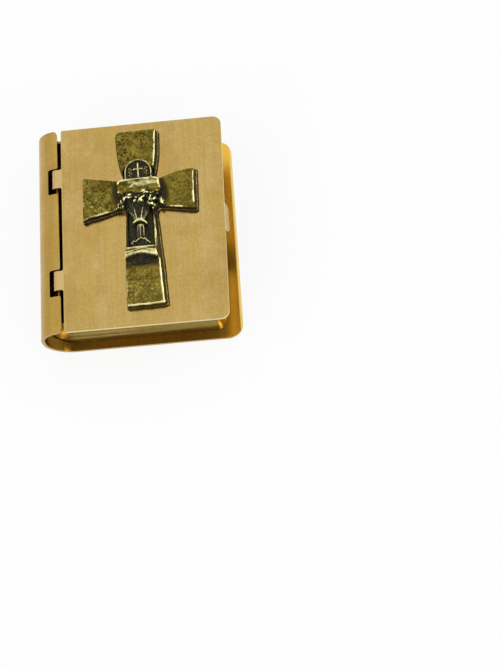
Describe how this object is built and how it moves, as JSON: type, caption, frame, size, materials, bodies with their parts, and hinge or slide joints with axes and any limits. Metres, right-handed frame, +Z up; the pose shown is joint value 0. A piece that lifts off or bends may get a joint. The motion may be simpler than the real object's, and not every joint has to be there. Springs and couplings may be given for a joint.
{
  "type": "rosary box",
  "caption": "Small sheet-brass box in the form of a closed book, with a hinged front cover and a cast cross laid on it.",
  "frame": {"origin": "middle of the box's footprint, on the surface that it lies on", "axes": "+X from the spine to the fore-edge, +Y from the foot to the head of the book, +Z up through the front cover"},
  "size_m": [0.0412, 0.046, 0.0159],
  "materials": {
    "back_brass": "satin, rubbed, darker inside",
    "wall_brass": "polished",
    "wire_brass": "drawn wire, dull",
    "front_brass": "satin, finely brushed",
    "antique_brass": "antiqued casting, dark in the recesses, bright on worn edges"
  },
  "bodies": {
    "book": {"back_cover": "back_brass", "page_wall": "wall_brass", "hinge_wire": "wire_brass"},
    "front": {"front_cover": "front_brass", "cross": "antique_brass"}
  },
  "joints": [
    {"name": "front_hinge", "type": "hinge", "parent": "book", "child": "front", "pos_m": [-0.016, 0, 0.011], "axis": [0, -1, 0], "range_deg": [0, 95]}
  ]
}
